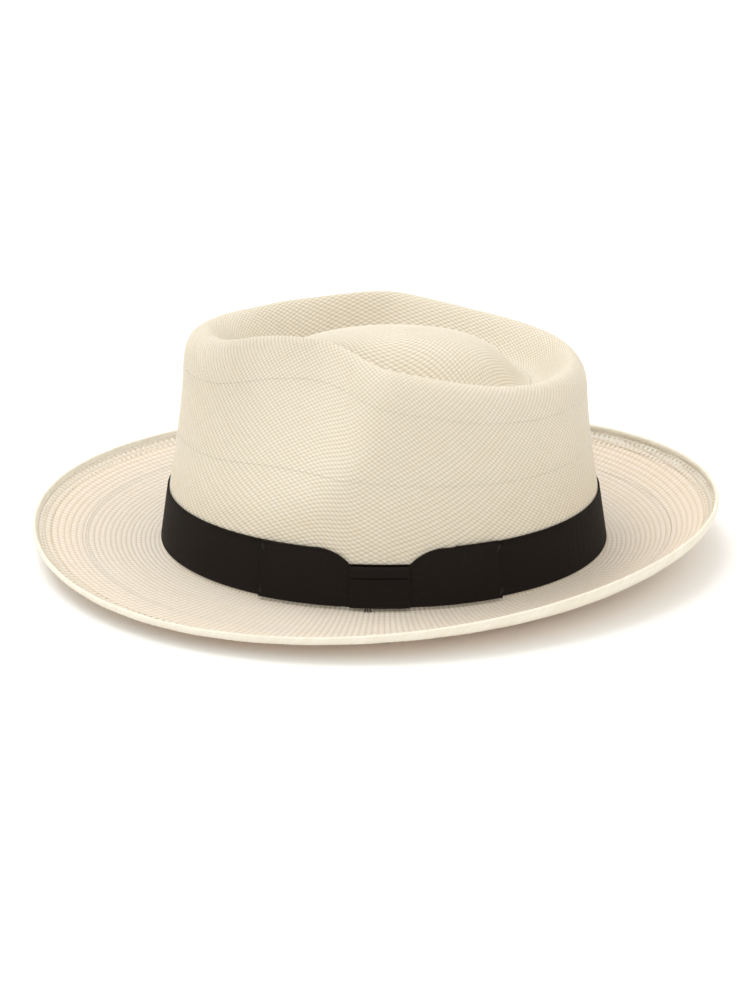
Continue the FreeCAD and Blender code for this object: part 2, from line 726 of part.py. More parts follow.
NODES = [
    "straw_body", "hem_thread_outer", "hem_thread_inner",
    "hat_band", "bow_loops", "bow_knot", "bow_tacks", "knot_thread_ends",
    "sweatband", "sweatband_reed", "sweatband_thread", "sweatband_bow",
]

doc.recompute()
for item in doc.Objects:
    if "Invalid" in item.State or "Error" in item.State:
        raise RuntimeError(item.Label + " failed to build")
for name in NODES:
    shape = doc.getObjectsByLabel(name)[0].Shape
    if shape.isNull() or not shape.isValid():
        raise RuntimeError(name + " has no valid shape")

os.makedirs("parts", exist_ok=True)
for name in NODES:
    doc.getObjectsByLabel(name)[0].Shape.exportStep("parts/%s.step" % name)
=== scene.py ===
"""A panama hat: woven straw crown and brim, a grosgrain ribbon with a flat side bow, a sweatband inside.

Metres, +Z up, the floor at z = 0, the wearer's face towards -Y and the bow on the wearer's left at +X.
Sizes in the code below are millimetres of the hat, turned into metres by MM, which follows the frame.
"""
import math
import bpy
import numpy as np
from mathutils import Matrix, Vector


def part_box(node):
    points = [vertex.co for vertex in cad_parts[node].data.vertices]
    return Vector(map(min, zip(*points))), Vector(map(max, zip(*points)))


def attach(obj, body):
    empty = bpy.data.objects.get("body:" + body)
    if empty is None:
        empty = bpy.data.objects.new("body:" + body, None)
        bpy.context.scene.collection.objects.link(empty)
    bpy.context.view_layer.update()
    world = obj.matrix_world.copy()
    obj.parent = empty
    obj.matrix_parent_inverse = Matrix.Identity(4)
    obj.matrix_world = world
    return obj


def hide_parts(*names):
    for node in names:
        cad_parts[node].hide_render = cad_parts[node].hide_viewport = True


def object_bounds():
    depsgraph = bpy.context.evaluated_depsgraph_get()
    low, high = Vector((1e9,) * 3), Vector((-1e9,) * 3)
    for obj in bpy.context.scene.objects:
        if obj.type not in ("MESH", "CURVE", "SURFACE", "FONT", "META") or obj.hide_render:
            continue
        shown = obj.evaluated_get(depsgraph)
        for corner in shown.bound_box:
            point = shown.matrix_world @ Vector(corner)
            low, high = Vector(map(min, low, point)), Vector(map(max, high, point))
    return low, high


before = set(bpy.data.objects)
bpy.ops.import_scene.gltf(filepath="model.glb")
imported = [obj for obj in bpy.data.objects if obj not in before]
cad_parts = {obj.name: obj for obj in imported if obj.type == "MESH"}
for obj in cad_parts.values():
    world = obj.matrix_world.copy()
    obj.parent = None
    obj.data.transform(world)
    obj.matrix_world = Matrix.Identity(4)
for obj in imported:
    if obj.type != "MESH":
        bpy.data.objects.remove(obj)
cad_low, cad_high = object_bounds()

# ---- driving sizes

HAT_LENGTH = 312.5        # nose to back of the brim, in the hat's own millimetres
MM = (cad_high.y - cad_low.y) / HAT_LENGTH
WALL = 1.1                # woven straw
HEAD_LENGTH = 101.4       # half length of the crown's outside at the brim
HEAD_WIDTH = 84.2         # half width there
LEAN = 0.155              # how far the side leans in for each millimetre up
BAND_FOOT, BAND_TOP = (corner.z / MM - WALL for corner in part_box("hat_band"))
BAND_OUTSET = 0.60        # middle of the ribbon's thickness, off the straw
RIBBON_THICKNESS = 0.5
KNOT_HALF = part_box("bow_knot")[1].y / MM
BOW_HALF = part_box("bow_loops")[1].y / MM
STRAND = 1.7              # width of one strand of straw with its gap

COLUMNS = 96              # control points in each ring of the straw
TURN = 2 * math.pi
ANGLES = TURN * np.arange(COLUMNS) / COLUMNS

STRAIGHT_HEIGHT = 36.0    # the side is a plain leaning oval up to here
SHOULDER_FRONT = 89.3     # reach of the crown just under its front rim
SHOULDER_BACK = 91.0
SHOULDER_WIDTH = 67.0     # half width there
RIM_HEIGHT = 94.0         # crown rim, half way between its front and back heights
RIM_SWING = 9.8           # half the difference between them
RIM_TURN_PLACE = 20.0     # where along Y the rim is half way down
RIM_TURN_LENGTH = 45.0    # how gently it comes down
NOSE_DROP = 7.0           # how much the rim drops again at the very front
ISLAND_HEIGHT = 97.6      # raised middle of the teardrop
PINCH_FOOT = 38.0         # lowest point of the front facet's lower edge
PINCH_TOP = 98.0          # where that edge meets the rim
PINCH_SHARE = 0.49        # share of the half width pressed in by the front pinch

BRIM_WIDTH = 49.5         # in plan at the side
BRIM_FRONT_EXTRA = 15.5   # how fast the brim widens from the side towards the front
BRIM_END_EXTRA = 3.5      # how much wider it is at both ends
BRIM_FRONT_FADE = 11.7    # evens out the widening at the very ends
BRIM_RISE = 11.6          # height of the brim's edge at the side
BRIM_BACK_LIFT = 8.5      # how much more it rises towards the back
BRIM_END_LIFT = 6.0       # how much it rises at both ends
BRIM_END_FADE = 2.8       # evens out the lift at the very ends
BRIM_LEAN = 1.3           # the bow side of the brim hangs this much lower
LIP_FRONT = 2.4           # turned-up edge of the brim at the front and sides
LIP_BACK_EXTRA = 3.2      # how much taller the turned-up edge is behind


# ---- small helpers

def ramp(start, end, value):
    """0 at start, 1 at end, with level ends; start may be the larger of the two."""
    share = np.clip((value - start) / (end - start), 0.0, 1.0)
    return share * share * (3 - 2 * share)


def unit(vectors):
    return vectors / np.linalg.norm(vectors, axis=-1, keepdims=True)


def add_object(name, data):
    """A new object in the scene."""
    added = bpy.data.objects.new(name, data)
    bpy.context.scene.collection.objects.link(added)
    return added


def grid_faces(rows, columns, wrap, first, uv_first, flip):
    """Quads of a grid, as vertex numbers and as numbers into its texture coordinates."""
    across = columns if wrap else columns - 1
    row, column = np.meshgrid(np.arange(rows - 1), np.arange(across), indexing="ij")
    corners = [(row, column), (row, column + 1), (row + 1, column + 1), (row + 1, column)]
    if flip:
        corners = corners[::-1]
    uv_columns = columns + 1 if wrap else columns
    verts = [first + r * columns + c % columns for r, c in corners]
    uvs = [uv_first + r * uv_columns + c for r, c in corners]
    return np.stack(verts, -1).reshape(-1, 4), np.stack(uvs, -1).reshape(-1, 4)


def strip_faces(line_a, line_b, uv_a, uv_b):
    """Quads between two equally long lines of vertices."""
    verts = np.stack([line_a[:-1], line_b[:-1], line_b[1:], line_a[1:]], -1)
    uvs = np.stack([uv_a[:-1], uv_b[:-1], uv_b[1:], uv_a[1:]], -1)
    return verts, uvs


def make_object(name, points, faces, uvs, uv_points, material, smooth_count=None):
    """A mesh riding on the hat. Faces after smooth_count are a piece's cut ends and stay flat."""
    mesh = bpy.data.meshes.new(name)
    mesh.from_pydata((points * MM).tolist(), [], [list(face) for face in faces])
    layer = mesh.uv_layers.new(name="weave")
    flat = np.concatenate([np.asarray(face) for face in uvs])
    layer.data.foreach_set("uv", uv_points[flat].astype(np.float32).ravel())
    smooth = np.ones(len(mesh.polygons), dtype=bool)
    if smooth_count is not None:
        smooth[smooth_count:] = False
    mesh.polygons.foreach_set("use_smooth", smooth)
    mesh.materials.append(material)
    mesh.update()
    piece = add_object(name, mesh)
    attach(piece, "root")
    return piece


def thin_piece(name, front, back, uv_front, uv_back, wrap, material, pole=False):
    """A closed thin piece between a front grid and a back grid with the same number of columns.

    Grids are rows x columns x 3. wrap joins the last column to the first, and then the texture
    coordinates have one column more. pole closes the first row of both grids to a point.
    """
    rows, columns = front.shape[:2]
    back_rows = back.shape[0]
    points = np.concatenate([front.reshape(-1, 3), back.reshape(-1, 3)])
    uv_points = np.concatenate([uv_front.reshape(-1, 2), uv_back.reshape(-1, 2)])
    back_first = rows * columns
    uv_columns = uv_front.shape[1]
    uv_back_first = rows * uv_columns
    faces = []
    uvs = []

    def add(pair):
        faces.extend(pair[0].tolist())
        uvs.extend(pair[1].tolist())

    add(grid_faces(rows, columns, wrap, 0, 0, True))
    add(grid_faces(back_rows, columns, wrap, back_first, uv_back_first, False))
    if pole:
        caps = [(0, 0, front[0], 1), (back_first, uv_back_first, back[0], -1)]
        for first, uv_first, ring, turn in caps:
            centre = len(points)
            points = np.concatenate([points, ring.mean(axis=0)[None]])
            uv_ring = uv_points[uv_first:uv_first + columns]
            uv_points = np.concatenate([uv_points, uv_ring.mean(axis=0)[None]])
            for column in range(columns):
                pair = [first + column, first + (column + 1) % columns]
                uv_pair = [uv_first + column, uv_first + column + 1]
                faces.append([centre] + pair[::turn])
                uvs.append([len(uv_points) - 1] + uv_pair[::turn])
    smooth_count = len(faces)
    around = np.arange(columns + 1) % columns if wrap else np.arange(columns)
    uv_around = np.arange(uv_columns)
    last = (rows - 1) * columns
    uv_last = (rows - 1) * uv_columns
    back_last = back_first + (back_rows - 1) * columns
    uv_back_last = uv_back_first + (back_rows - 1) * uv_columns
    add(strip_faces(back_last + around, last + around, uv_back_last + uv_around, uv_last + uv_around))
    if not pole:
        add(strip_faces(around, back_first + around, uv_around, uv_back_first + uv_around))
    if not wrap:
        down = np.arange(rows) * columns
        uv_down = np.arange(rows) * uv_columns
        add(strip_faces(back_first + down, down, uv_back_first + uv_down, uv_down))
        end = columns - 1
        add(strip_faces(down + end, back_first + down + end, uv_down + end, uv_back_first + uv_down + end))
    return make_object(name, points, faces, uvs, uv_points, material, smooth_count)


def tubes(name, paths, radius, material, sides=6):
    """Round-ended threads along paths, all in one object. Each path is an array of points."""
    points = []
    faces = []
    count = 0
    for path in paths:
        path = np.asarray(path, dtype=float)
        ahead = unit(np.gradient(path, axis=0))
        up = unit(np.cross(ahead, np.roll(ahead, 1, axis=1) + np.array([0.13, 0.07, 0.02])))
        aside = np.cross(ahead, up)
        steps = len(path)
        for step in range(steps):
            taper = math.sqrt(max(1 - (2 * step / (steps - 1) - 1) ** 8, 0.02))
            for side in range(sides):
                turn = TURN * side / sides
                reach = radius * taper
                points.append(path[step] + (up[step] * math.cos(turn) + aside[step] * math.sin(turn)) * reach)
        for step in range(steps - 1):
            for side in range(sides):
                after = (side + 1) % sides
                low = count + step * sides
                faces.append([low + side, low + after, low + sides + after, low + sides + side])
        faces.append([count + side for side in range(sides)][::-1])
        faces.append([count + (steps - 1) * sides + side for side in range(sides)])
        count += steps * sides
    points = np.array(points)
    return make_object(name, points, faces, faces, points[:, :2], material)


# ---- the straw's own surface
# The same rings of control points as the solid: crown top, gutter, rim, side and brim.

def rim_height(y):
    """The crown's rim is high at the front, low at the back, and rounds off at the nose."""
    turn = np.tanh((y - RIM_TURN_PLACE) / RIM_TURN_LENGTH)
    return RIM_HEIGHT - RIM_SWING * turn - NOSE_DROP * ramp(-36, -84, y)


def pinch(y, z, side):
    """Share of the half width pressed in at the front, deepening evenly up to the rim.

    side is 1 on the bow side, where the facet ends more sharply, and -1 on the other.
    """
    bow_side = ramp(-0.35, 0.35, side)
    start = 12 - 7 * bow_side
    end = -45 + 18 * bow_side
    along = ramp(start, end, y) * (1 - 0.70 * ramp(-52, -88, y))
    forward = np.clip((2 - y) / 54, 0.0, 1.0)
    lower_edge = PINCH_FOOT + (PINCH_TOP - PINCH_FOOT) * (1 - forward ** 0.32)
    depth = np.clip((z - lower_edge) / np.maximum(PINCH_TOP - lower_edge, 4.0), 0.0, 1.0)
    return (PINCH_SHARE - 0.05 * (1 - bow_side)) * depth * along


def oval(front, back, half_width, fullness):
    """A ring that is fuller behind than an ellipse."""
    behind = np.maximum(np.sin(ANGLES), 0)
    x = half_width * np.cos(ANGLES) * (1 + fullness * behind ** 2)
    y = (back - front) / 2 + (back + front) / 2 * np.sin(ANGLES)
    return x, y


def ring(x, y, z):
    return np.stack([x, y, z + np.zeros(COLUMNS)], -1)


def top_ring(front, back, half_width, fullness, narrowing, height):
    """A ring of the crown's top; narrowing draws its front in to the teardrop's point."""
    x, y = oval(front, back, half_width, fullness)
    return ring(x * (1 - narrowing * ramp(5, -40, y)), y, height(np.sin(ANGLES), y))


def rim_ring(front, back, half_width, fullness, height):
    """A ring of the crown's rim, drawn in by the front pinch."""
    x, y = oval(front, back, half_width, fullness)
    return ring(x * (1 - pinch(y, 100, np.cos(ANGLES))), y, height(np.sin(ANGLES), y))


def upper_side_ring(share):
    """A ring of the side between the straight part (share 0) and the shoulder (share 1)."""
    low_length = HEAD_LENGTH - LEAN * STRAIGHT_HEIGHT
    low_width = HEAD_WIDTH - LEAN * STRAIGHT_HEIGHT
    arc = 1 - (1 - share) ** 1.5
    front = low_length + (SHOULDER_FRONT - low_length) * arc
    back = low_length + (SHOULDER_BACK - low_length) * arc
    x, y = oval(front, back, low_width + (SHOULDER_WIDTH - low_width) * share, 0.20 * share)
    top = 0.92 * rim_height(HEAD_LENGTH * np.sin(ANGLES))
    z = STRAIGHT_HEIGHT + (top - STRAIGHT_HEIGHT) * share
    return ring(x * (1 - pinch(y, z, np.cos(ANGLES))), y, z)


def straight_side_ring(height):
    lean = LEAN * height
    return ring((HEAD_WIDTH - lean) * np.cos(ANGLES), (HEAD_LENGTH - lean) * np.sin(ANGLES), height)


def brim_ring(share, rise_share, lip_share):
    """A ring of the brim: share of its width, of its gentle rise and of its turned-up lip."""
    across = np.cos(ANGLES) / HEAD_WIDTH
    along = np.sin(ANGLES) / HEAD_LENGTH
    length = np.hypot(across, along)
    across /= length
    along /= length
    width = BRIM_WIDTH - BRIM_FRONT_EXTRA * along + BRIM_END_EXTRA * along ** 2
    width += BRIM_FRONT_FADE * along ** 3
    edge = BRIM_RISE + BRIM_BACK_LIFT * along + BRIM_END_LIFT * along ** 2
    edge -= BRIM_END_FADE * along ** 3 + BRIM_LEAN * across
    lip = LIP_FRONT + LIP_BACK_EXTRA * ramp(-0.2, 0.65, along)
    x = HEAD_WIDTH * np.cos(ANGLES) + width * share * across
    y = HEAD_LENGTH * np.sin(ANGLES) + width * share * along
    return ring(x, y, (edge - lip) * rise_share + lip * lip_share)


def gutter(s):
    return 77.5 - 6.0 * s


# Heights are given by s, which runs from -1 at the front to 1 at the back, and by the place y.
TOP_RINGS = [
    top_ring(-6, 8, 1, 0, 0, lambda s, y: ISLAND_HEIGHT),
    top_ring(7, 25, 9, 0, 0, lambda s, y: ISLAND_HEIGHT + 0.4),
    top_ring(28, 43, 18, 0.10, 0, lambda s, y: 95.6 - s),
    top_ring(44, 55, 27, 0.15, 0.45, lambda s, y: 89.0 - 3 * s - np.minimum(s, 0) ** 2),
    top_ring(61, 66, 37, 0.24, 0.60, lambda s, y: gutter(s)),
    top_ring(70, 76, 47, 0.24, 0.50, lambda s, y: 0.4 * gutter(s) + 0.6 * rim_height(y)),
    rim_ring(79, 84, 56.5, 0.28, lambda s, y: rim_height(y) + 3.0),
    rim_ring(86.5, 89, 62.5, 0.26, lambda s, y: rim_height(y) + 0.2 - 2.5 * np.maximum(s, 0) ** 4),
]
SIDE_RINGS = [upper_side_ring(share) for share in (1.0, 0.84, 0.67, 0.50, 0.33, 0.16, 0.0)]
FOOT_RINGS = [straight_side_ring(height) for height in (27.0, 18.0, 9.0, 2.0)]
BRIM_RINGS = [brim_ring(*row) for row in (
    (0.006, 0.00, 0.00), (0.035, 0.00, 0.00), (0.12, 0.00, 0.00), (0.26, 0.05, 0.00),
    (0.44, 0.20, 0.00), (0.62, 0.42, 0.00), (0.78, 0.68, 0.00), (0.90, 0.90, 0.02),
    (0.97, 1.00, 0.20), (1.00, 1.00, 0.60), (1.00, 1.00, 1.00),
)]
RINGS = np.array(TOP_RINGS + SIDE_RINGS + FOOT_RINGS + BRIM_RINGS) + np.array([0, 0, WALL])
# one more ring beyond each end lets the surface reach its first and last rings
NET = np.concatenate([2 * RINGS[:1] - RINGS[1:2], RINGS, 2 * RINGS[-1:] - RINGS[-2:-1]])
EDGE_ROW = len(RINGS) - 1.0  # the brim's edge
GUTTER_ROW = 4.0          # the bottom of the teardrop gutter
SHOULDER_ROW = 8.6        # just under the crown's rim
BREAK_ROW = len(TOP_RINGS) + len(SIDE_RINGS) + len(FOOT_RINGS) - 0.5  # where the side turns out


def cubic_weights(places, count, wrap):
    """Weights of a uniform cubic B-spline's control points at the given places."""
    whole = np.floor(places).astype(int)
    if not wrap:
        whole = np.clip(whole, 0, count - 4)
    t = places - whole
    parts = [(1 - t) ** 3, 3 * t ** 3 - 6 * t ** 2 + 4, -3 * t ** 3 + 3 * t ** 2 + 3 * t + 1, t ** 3]
    weights = np.zeros((len(places), count))
    for step, part in enumerate(parts):
        column = whole + step
        if wrap:
            column = (column - 1) % count
        weights[np.arange(len(places)), column] += part / 6
    return weights


def straw_surface(rows, columns):
    """Points of the straw's outside at ring numbers and column numbers, in millimetres."""
    down = cubic_weights(np.asarray(rows, dtype=float), len(NET), False)
    around = cubic_weights(np.asarray(columns, dtype=float), COLUMNS, True)
    return np.einsum("rk,kcx,nc->rnx", down, NET, around, optimize=True)


def surface_normals(points):
    """Outward normals of a wrapped grid of the straw's surface."""
    down = np.gradient(points, axis=0)
    around = np.roll(points, -1, axis=1) - np.roll(points, 1, axis=1)
    return unit(np.cross(down, around))


def row_normals(rows, columns):
    """Outward normals at ring numbers, the same for every piece that shares a row."""
    step = 0.01
    above = straw_surface(np.maximum(rows - step, 0), columns)
    below = straw_surface(np.minimum(rows + step, EDGE_ROW), columns)
    here = straw_surface(rows, columns)
    return unit(np.cross(below - above, np.roll(here, -1, axis=1) - np.roll(here, 1, axis=1)))


def even_rows(start, end, spacing):
    """Ring numbers from start to end, an even distance apart over the straw."""
    fine = np.linspace(start, end, 400)
    points = straw_surface(fine, np.arange(0, COLUMNS, 4))
    steps = np.linalg.norm(np.diff(points, axis=0), axis=2).mean(axis=1)
    length = np.concatenate([[0], np.cumsum(steps)])
    count = max(int(round(length[-1] / spacing)), 2)
    return np.interp(np.linspace(0, length[-1], count + 1), length, fine)


def distance_down(rows, places, origin_row):
    """Distance down the straw from the origin row to each row, at each column and the first again."""
    fine = np.linspace(min(origin_row, rows[0]), rows[-1], 300)
    points = straw_surface(fine, places)
    runs = run_lengths(points)
    found = np.array([np.interp(rows, fine, runs[:, column]) for column in range(len(places))]).T
    return np.concatenate([found, found[:, :1]], axis=1)


def run_lengths(points):
    """Distance down the straw from the grid's first row, for each point."""
    steps = np.linalg.norm(np.diff(points, axis=0), axis=2)
    return np.concatenate([np.zeros((1, points.shape[1])), np.cumsum(steps, axis=0)])


# ---- how the strands run
# A weave gives two strand numbers (p, q) at every point. Strand p runs where p is between two
# whole numbers; the checkerboard of both says which strand lies on top.

SIDE_CELLS = 204          # diamonds round the crown's side
SIDE_CELL_HEIGHT = 2.0
BRIM_STRANDS = 300        # strands that fan out over the brim
BREAK_RADIUS = 93.0       # about how far the brim's start is from the hat's middle
CENTRE_RADIUS = 0.7       # the crown's first ring is this far from its middle
SKEW_LEVEL = 75.0         # the strands' spacing is even this far down from the gutter
SKEW = 0.45               # how far the strands lean over towards the nose and the back


def side_weave(run, angles):
    """Diamonds that lean forward at the nose and back at the back, as the blocked cloth does."""
    around = SIDE_CELLS * angles[None, :] / TURN
    down = -(run - SKEW_LEVEL) / SIDE_CELL_HEIGHT
    skew = -SKEW * np.sin(angles)[None, :]
    return np.stack([around + (1 - skew) * down, around - (1 + skew) * down], -1)


def top_weave(run, angles):
    """A straight square weave laid over the crown's middle."""
    x = (run + CENTRE_RADIUS) * np.cos(angles)[None, :]
    y = (run + CENTRE_RADIUS) * np.sin(angles)[None, :]
    return np.stack([x + y, x - y], -1) / (STRAND * math.sqrt(2))


def brim_weave(run, angles):
    """On the brim one set of strands fans out and the other runs round; both grow wider outward."""
    strand = TURN * BREAK_RADIUS / BRIM_STRANDS
    rounds = np.log(1 + run / BREAK_RADIUS) * BREAK_RADIUS / strand
    return np.stack([BRIM_STRANDS * angles[None, :] / TURN + 0 * run, rounds], -1)


def bead_height(weave):
    """0 in the gaps between strands and 1 on the middle of each crossing."""
    return np.sqrt(np.abs(np.sin(math.pi * weave[..., 0]) * np.sin(math.pi * weave[..., 1])))


# ---- material helpers

class Nodes:
    """Builds a material's node tree with short calls."""

    def __init__(self, name):
        self.material = bpy.data.materials.new(name)
        self.material.use_nodes = True
        self.tree = self.material.node_tree
        self.tree.nodes.clear()
        self.output = self.new("OutputMaterial")

    def new(self, kind):
        return self.tree.nodes.new("ShaderNode" + kind)

    def put(self, socket, value):
        if isinstance(value, bpy.types.NodeSocket):
            self.tree.links.new(value, socket)
        else:
            socket.default_value = value

    def math(self, operation, *values):
        node = self.new("Math")
        node.operation = operation
        for socket, value in zip(node.inputs, values):
            self.put(socket, value)
        return node.outputs[0]

    def wave(self, value, rate):
        return self.math("SINE", self.math("MULTIPLY", value, rate))

    def weighted(self, *terms):
        """The sum of some numbers, each given with its weight."""
        total = 0.0
        for value, weight in terms:
            total = self.math("ADD", total, self.math("MULTIPLY", value, weight))
        return total

    def mix(self, factor, first, second):
        """A number between two numbers."""
        node = self.new("Mix")
        node.data_type = "FLOAT"
        self.put(node.inputs[0], factor)
        self.put(node.inputs[2], first)
        self.put(node.inputs[3], second)
        return node.outputs[0]

    def mix_colour(self, factor, first, second):
        node = self.new("Mix")
        node.data_type = "RGBA"
        self.put(node.inputs[0], factor)
        for socket, value in ((node.inputs[6], first), (node.inputs[7], second)):
            self.put(socket, value if isinstance(value, bpy.types.NodeSocket) else (*value, 1))
        return node.outputs[2]

    def uv(self):
        """The piece's own texture coordinates as two numbers."""
        node = self.new("UVMap")
        node.uv_map = "weave"
        parts = self.new("SeparateXYZ")
        self.put(parts.inputs[0], node.outputs[0])
        return parts.outputs[0], parts.outputs[1]

    def vector(self, x, y, z=0.0):
        node = self.new("CombineXYZ")
        for socket, value in zip(node.inputs, (x, y, z)):
            self.put(socket, value)
        return node.outputs[0]

    def place(self):
        """Position in the hat's own millimetres."""
        node = self.new("TexCoord")
        scaled = self.new("VectorMath")
        scaled.operation = "SCALE"
        self.put(scaled.inputs[0], node.outputs["Object"])
        self.put(scaled.inputs["Scale"], 1 / MM)
        return scaled.outputs[0]

    def noise(self, vector, scale, detail=2.0):
        node = self.new("TexNoise")
        self.put(node.inputs["Vector"], vector)
        self.put(node.inputs["Scale"], scale)
        self.put(node.inputs["Detail"], detail)
        return node.outputs[0]

    def random(self, vector):
        node = self.new("TexWhiteNoise")
        node.noise_dimensions = "3D"
        self.put(node.inputs["Vector"], vector)
        return node.outputs["Value"]

    def bump(self, height, depth, strength=1.0):
        """depth is in the hat's millimetres for a height of 1."""
        node = self.new("Bump")
        self.put(node.inputs["Strength"], strength)
        self.put(node.inputs["Distance"], depth * MM)
        self.put(node.inputs["Height"], height)
        return node.outputs[0]

    def shader(self, colour, roughness, normal=None, **sockets):
        node = self.new("BsdfPrincipled")
        self.put(node.inputs["Base Color"], colour)
        self.put(node.inputs["Roughness"], roughness)
        if normal is not None:
            self.put(node.inputs["Normal"], normal)
        for name, value in sockets.items():
            self.put(node.inputs[name.replace("_", " ")], value)
        return node

    def finish(self, shader_socket):
        self.put(self.output.inputs["Surface"], shader_socket)
        return self.material


# ---- materials

STRAW_LIGHT = (0.93, 0.885, 0.785)
# painted shade: the colour of the gaps between the crown's strands
STRAW_GAP_SHADE = (0.54, 0.44, 0.27)
BRIM_LIGHT = (0.97, 0.94, 0.865)
BRIM_GAP_SHADE = (0.64, 0.54, 0.38)  # painted shade in the brim's gaps, paler as the brim is pressed flatter
GLOW = (1.0, 0.58, 0.30)  # what the straw lets through
WARMER = (0.97, 0.94, 0.87)  # a darker strand's colour, as a share of the light one's
STRAW_SHINE = 0.35
CROWN_SEE_THROUGH = 0.17  # share of the light that passes through
BRIM_SEE_THROUGH = 0.27
OTHER_SET = 517.0         # keeps the two sets of strands from having the same tones
HEM_DEEP = (0.70, 0.62, 0.47)
HEM_LIGHT = (0.88, 0.84, 0.75)


def see_through_shader(n, body, colour, share):
    """The body's own shading with a share of the warm light that the straw lets through."""
    through = n.new("BsdfTranslucent")
    n.put(through.inputs["Color"], n.mix_colour(0.6, colour, GLOW))
    both = n.new("MixShader")
    n.put(both.inputs[0], share)
    n.put(both.inputs[1], body.outputs[0])
    n.put(both.inputs[2], through.outputs[0])
    return both.outputs[0]


def straw_material(name, light, gap_shade, bump_depth, see_through):
    """Plain weave: rounded strands with painted shade in the gaps, each strand a little different."""
    n = Nodes(name)
    p, q = n.uv()
    p_inside = n.math("FRACT", p)
    q_inside = n.math("FRACT", q)
    p_strand = n.math("FLOOR", p)
    q_strand = n.math("FLOOR", q)
    p_on_top = n.math("PINGPONG", n.math("ADD", p_strand, q_strand), 1.0)
    across = n.mix(p_on_top, q_inside, p_inside)
    along = n.mix(p_on_top, p_inside, q_inside)
    strand = n.mix(p_on_top, n.math("ADD", q_strand, OTHER_SET), p_strand)
    round_across = n.wave(across, math.pi)
    arched = n.wave(along, math.pi)
    bead = n.math("MULTIPLY", n.math("POWER", round_across, 0.5), n.math("POWER", arched, 0.35))
    fibre_place = n.vector(n.math("MULTIPLY", across, 5.0), n.math("MULTIPLY", along, 0.5), strand)
    fibres = n.noise(fibre_place, 1.6, 3.0)
    own = n.random(n.vector(strand, 3.0, 1.0))
    cell = n.random(n.vector(p_strand, q_strand, 5.0))
    broad = n.noise(n.place(), 0.03, 3.0)
    tone = n.weighted((own, 0.5), (cell, 0.22), (fibres, 0.30), (broad, 0.35))
    warm = tuple(value * share for value, share in zip(light, WARMER))
    top_colour = n.mix_colour(n.math("SUBTRACT", tone, 0.35), light, warm)
    # painted shade: the colour darkens from each crossing's middle down into the gaps between strands
    colour = n.mix_colour(n.math("POWER", bead, 0.6), gap_shade, top_colour)
    normal = n.bump(n.weighted((bead, 1.0), (fibres, 0.12)), bump_depth, 0.8)
    body = n.shader(colour, n.mix(fibres, 0.42, 0.60), normal, Specular_IOR_Level=STRAW_SHINE)
    return n.finish(see_through_shader(n, body, colour, see_through))


def hem_material():
    """Straw ends rolled over the edge: fine fibres that run round slantwise."""
    n = Nodes("rolled_straw")
    along, across = n.uv()
    slant = n.math("ADD", along, n.math("MULTIPLY", across, 1.2))
    fibres = n.noise(n.vector(n.math("MULTIPLY", slant, 1.1), n.math("MULTIPLY", across, 0.35)), 1.0, 4.0)
    twist = n.noise(n.vector(n.math("MULTIPLY", slant, 0.25), n.math("MULTIPLY", across, 0.1), 7.0), 1.0, 2.0)
    tone = n.weighted((fibres, 0.6), (twist, 0.6))
    colour = n.mix_colour(tone, HEM_DEEP, HEM_LIGHT)
    normal = n.bump(tone, 0.35, 0.8)
    shader = n.shader(colour, n.mix(fibres, 0.40, 0.62), normal, Specular_IOR_Level=STRAW_SHINE)
    return n.finish(shader.outputs[0])


RIBBON_DARK = (0.0056, 0.0036, 0.0028)
RIBBON_LIGHT = (0.0150, 0.0100, 0.0078)
RIB_PITCH = 0.65          # one rib of the grosgrain
WARP_PITCH = 0.28         # one of the fine threads over the ribs


def ribbon_material(name, across_ribs):
    """Grosgrain: close ribs across the ribbon, with the fine warp threads over them."""
    n = Nodes(name)
    along, up = n.uv()
    if across_ribs:
        along, up = up, along
    rib = n.wave(along, TURN / RIB_PITCH)
    thread = n.wave(up, TURN / WARP_PITCH)
    rough_cloth = n.noise(n.place(), 0.9, 4.0)
    height = n.weighted((rib, 0.5), (thread, 0.16), (rough_cloth, 0.3))
    # painted highlight on the ribs' crests and painted shade in their troughs, over the cloth's own mottle
    tone = n.weighted((rib, 0.28), (rough_cloth, 0.75))
    colour = n.mix_colour(tone, RIBBON_DARK, RIBBON_LIGHT)
    normal = n.bump(height, 0.12, 0.7)
    shader = n.shader(colour, n.mix(rough_cloth, 0.45, 0.7), normal, Specular_IOR_Level=0.12,
                      Sheen_Weight=0.02, Sheen_Roughness=0.4)
    return n.finish(shader.outputs[0])


def thread_material(name, colour, dark):
    """Twisted sewing thread."""
    n = Nodes(name)
    fuzz = n.noise(n.place(), 2.5, 4.0)
    normal = n.bump(fuzz, 0.1, 0.8)
    return n.finish(n.shader(n.mix_colour(fuzz, dark, colour), 0.75, normal).outputs[0])


TWILL_DARK = (0.62, 0.55, 0.42)
TWILL_LIGHT = (0.82, 0.77, 0.66)
TWILL_PITCH = 0.9         # from one slanting rib of the twill to the next


def sweatband_material():
    """Cream cotton twill."""
    n = Nodes("sweatband_twill")
    along, up = n.uv()
    twill = n.wave(n.math("ADD", along, up), TURN / TWILL_PITCH)
    wear = n.noise(n.place(), 0.08, 4.0)
    height = n.weighted((twill, 0.5), (n.noise(n.place(), 2.0, 3.0), 1.0))
    colour = n.mix_colour(n.weighted((twill, 0.2), (wear, 1.0)), TWILL_DARK, TWILL_LIGHT)
    normal = n.bump(height, 0.1, 0.7)
    return n.finish(n.shader(colour, 0.8, normal, Sheen_Weight=0.15).outputs[0])


def reed_material():
    """Cream plastic with faint drawing lines."""
    n = Nodes("reed_plastic")
    streak = n.noise(n.place(), 0.4, 3.0)
    normal = n.bump(streak, 0.05, 0.5)
    colour = n.mix_colour(streak, (0.62, 0.56, 0.42), (0.76, 0.71, 0.58))
    return n.finish(n.shader(colour, 0.4, normal).outputs[0])


